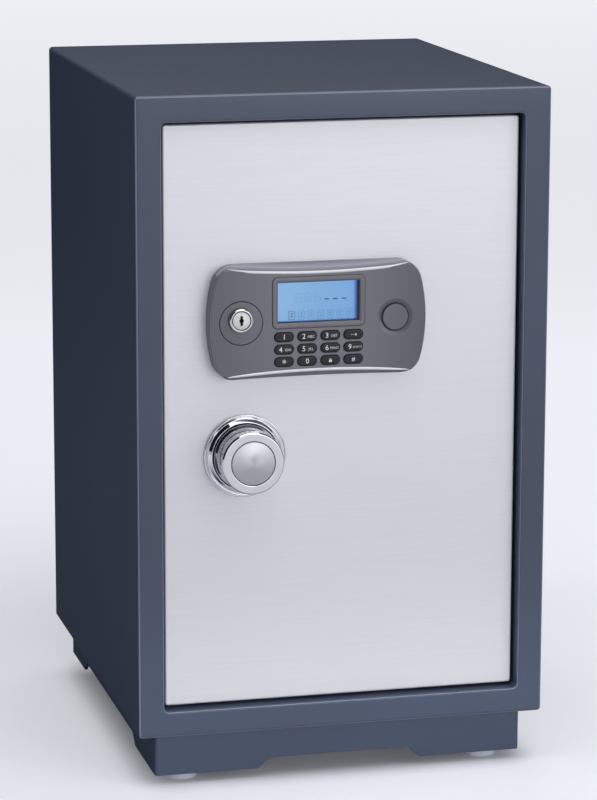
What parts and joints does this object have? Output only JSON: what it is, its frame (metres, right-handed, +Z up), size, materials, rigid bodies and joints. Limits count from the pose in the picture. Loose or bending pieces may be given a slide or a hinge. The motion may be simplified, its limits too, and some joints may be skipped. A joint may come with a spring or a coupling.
{
  "type": "electronic safe",
  "caption": "Steel security cabinet on a plinth with a hinged door, electronic keypad panel with display, key lock, turning knob and sliding locking bolts.",
  "frame": {"origin": "centre of the footprint at floor level, under the feet", "axes": "+Z up, -Y out of the door's face, +X to the right of a person who faces the door"},
  "size_m": [0.4, 0.478, 0.664],
  "materials": {
    "cabinet_paint": "satin powder coat",
    "inner_paint": "satin powder coat",
    "zinc_steel": "zinc plated",
    "foot_plastic": "moulded plastic",
    "felt": "short pile felt",
    "brushed_door": "fine vertical brushing",
    "black_plastic": "fine texture",
    "cell_wrap": "gloss sleeve",
    "chrome": "polished",
    "satin_metal": "satin",
    "brass": "turned",
    "coil_casing": "lacquered",
    "wire_sleeve": "woven sleeve",
    "rubber_black": "matt",
    "panel_plastic": "satin moulded plastic",
    "window": "clear",
    "lcd": "backlit display",
    "board": "solder mask",
    "silicone": "matt",
    "key_plastic": "soft gloss"
  },
  "bodies": {
    "cabinet": {"outer_shell": "cabinet_paint", "back_plate": "cabinet_paint", "door_jamb": "inner_paint", "door_stop": "inner_paint", "inner_liner": "inner_paint", "liner_rear": "inner_paint", "anchor_sleeves": "zinc_steel", "base_plinth": "cabinet_paint", "levelling_feet": "foot_plastic", "floor_mat": "felt", "shelf": "inner_paint", "shelf_clips": "zinc_steel", "hinge_pins": "zinc_steel"},
    "door": {"door_skin": "brushed_door", "door_plate": "inner_paint", "hinge_blocks": "zinc_steel", "bolt_chassis": "inner_paint", "inner_cover": "inner_paint", "cover_screws": "zinc_steel", "battery_box": "black_plastic", "batteries": "cell_wrap", "guide_studs": "zinc_steel", "knob_rose": "chrome", "knob_bush": "brass", "solenoid_body": "coil_casing", "wire_loom": "wire_sleeve", "loom_grommet": "rubber_black", "panel_housing": "panel_plastic", "panel_screws": "zinc_steel", "lcd_bezel": "panel_plastic", "lcd_window": "window", "lcd_module": "lcd", "circuit_board": "board", "keypad_mat": "silicone", "lock_escutcheon": "panel_plastic", "lock_barrel": "chrome", "emergency_lock": "zinc_steel"},
    "boltwork": {"bolt_carriage": "zinc_steel", "locking_bolts": "chrome"},
    "knob_unit": {"knob": "chrome", "knob_dome": "satin_metal", "knob_spindle": "zinc_steel", "drive_cam": "zinc_steel"},
    "plunger": {"solenoid_plunger": "zinc_steel"},
    "battery_cover": {"battery_lid": "black_plastic"},
    "key_plug": {"lock_plug": "chrome"},
    "cap": {"emergency_cap": "panel_plastic"},
    "spare_plug": {"emergency_plug": "zinc_steel"},
    "key_1_body": {"key_1": "key_plastic"},
    "key_2_body": {"key_2": "key_plastic"},
    "key_3_body": {"key_3": "key_plastic"},
    "key_4_body": {"key_4": "key_plastic"},
    "key_5_body": {"key_5": "key_plastic"},
    "key_6_body": {"key_6": "key_plastic"},
    "key_7_body": {"key_7": "key_plastic"},
    "key_8_body": {"key_8": "key_plastic"},
    "key_9_body": {"key_9": "key_plastic"},
    "key_10_body": {"key_10": "key_plastic"},
    "key_11_body": {"key_11": "key_plastic"},
    "key_12_body": {"key_12": "key_plastic"}
  },
  "joints": [
    {"name": "door_hinge", "type": "hinge", "parent": "cabinet", "child": "door", "pos_m": [0.136, -0.187, 0.358], "axis": [0, 0, 1], "range_deg": [0, 105]},
    {"name": "knob_turn", "type": "hinge", "parent": "door", "child": "knob_unit", "pos_m": [-0.0945, -0.205, 0.321], "axis": [0, 1, 0], "range_deg": [0, 60]},
    {"name": "bolt_slide", "type": "slide", "parent": "door", "child": "boltwork", "axis": [-1, 0, 0], "range_m": [0, 0.02]},
    {"name": "plunger_slide", "type": "slide", "parent": "door", "child": "plunger", "axis": [0, 0, -1], "range_m": [0, 0.008], "stiffness_N_per_m": 150, "springref_m": -0.01},
    {"name": "lid_slide", "type": "slide", "parent": "door", "child": "battery_cover", "axis": [0, 0, -1], "range_m": [0, 0.066]},
    {"name": "lock_turn", "type": "hinge", "parent": "door", "child": "key_plug", "pos_m": [-0.1021, -0.201, 0.4539], "axis": [0, 1, 0], "range_deg": [0, 90]},
    {"name": "spare_turn", "type": "hinge", "parent": "door", "child": "spare_plug", "pos_m": [0.0475, -0.196, 0.4506], "axis": [0, 1, 0], "range_deg": [0, 90]},
    {"name": "cap_pull", "type": "slide", "parent": "door", "child": "cap", "axis": [0, -1, 0], "range_m": [0, 0.02]},
    {"name": "key_1_press", "type": "slide", "parent": "door", "child": "key_1_body", "axis": [0, 1, 0], "range_m": [0, 0.001], "stiffness_N_per_m": 1000, "springref_m": -0.0005},
    {"name": "key_2_press", "type": "slide", "parent": "door", "child": "key_2_body", "axis": [0, 1, 0], "range_m": [0, 0.001], "stiffness_N_per_m": 1000, "springref_m": -0.0005},
    {"name": "key_3_press", "type": "slide", "parent": "door", "child": "key_3_body", "axis": [0, 1, 0], "range_m": [0, 0.001], "stiffness_N_per_m": 1000, "springref_m": -0.0005},
    {"name": "key_4_press", "type": "slide", "parent": "door", "child": "key_4_body", "axis": [0, 1, 0], "range_m": [0, 0.001], "stiffness_N_per_m": 1000, "springref_m": -0.0005},
    {"name": "key_5_press", "type": "slide", "parent": "door", "child": "key_5_body", "axis": [0, 1, 0], "range_m": [0, 0.001], "stiffness_N_per_m": 1000, "springref_m": -0.0005},
    {"name": "key_6_press", "type": "slide", "parent": "door", "child": "key_6_body", "axis": [0, 1, 0], "range_m": [0, 0.001], "stiffness_N_per_m": 1000, "springref_m": -0.0005},
    {"name": "key_7_press", "type": "slide", "parent": "door", "child": "key_7_body", "axis": [0, 1, 0], "range_m": [0, 0.001], "stiffness_N_per_m": 1000, "springref_m": -0.0005},
    {"name": "key_8_press", "type": "slide", "parent": "door", "child": "key_8_body", "axis": [0, 1, 0], "range_m": [0, 0.001], "stiffness_N_per_m": 1000, "springref_m": -0.0005},
    {"name": "key_9_press", "type": "slide", "parent": "door", "child": "key_9_body", "axis": [0, 1, 0], "range_m": [0, 0.001], "stiffness_N_per_m": 1000, "springref_m": -0.0005},
    {"name": "key_10_press", "type": "slide", "parent": "door", "child": "key_10_body", "axis": [0, 1, 0], "range_m": [0, 0.001], "stiffness_N_per_m": 1000, "springref_m": -0.0005},
    {"name": "key_11_press", "type": "slide", "parent": "door", "child": "key_11_body", "axis": [0, 1, 0], "range_m": [0, 0.001], "stiffness_N_per_m": 1000, "springref_m": -0.0005},
    {"name": "key_12_press", "type": "slide", "parent": "door", "child": "key_12_body", "axis": [0, 1, 0], "range_m": [0, 0.001], "stiffness_N_per_m": 1000, "springref_m": -0.0005}
  ],
  "couplings": [
    {"joint": "bolt_slide", "follows": "knob_turn", "m_per_rad": 0.019099}
  ]
}
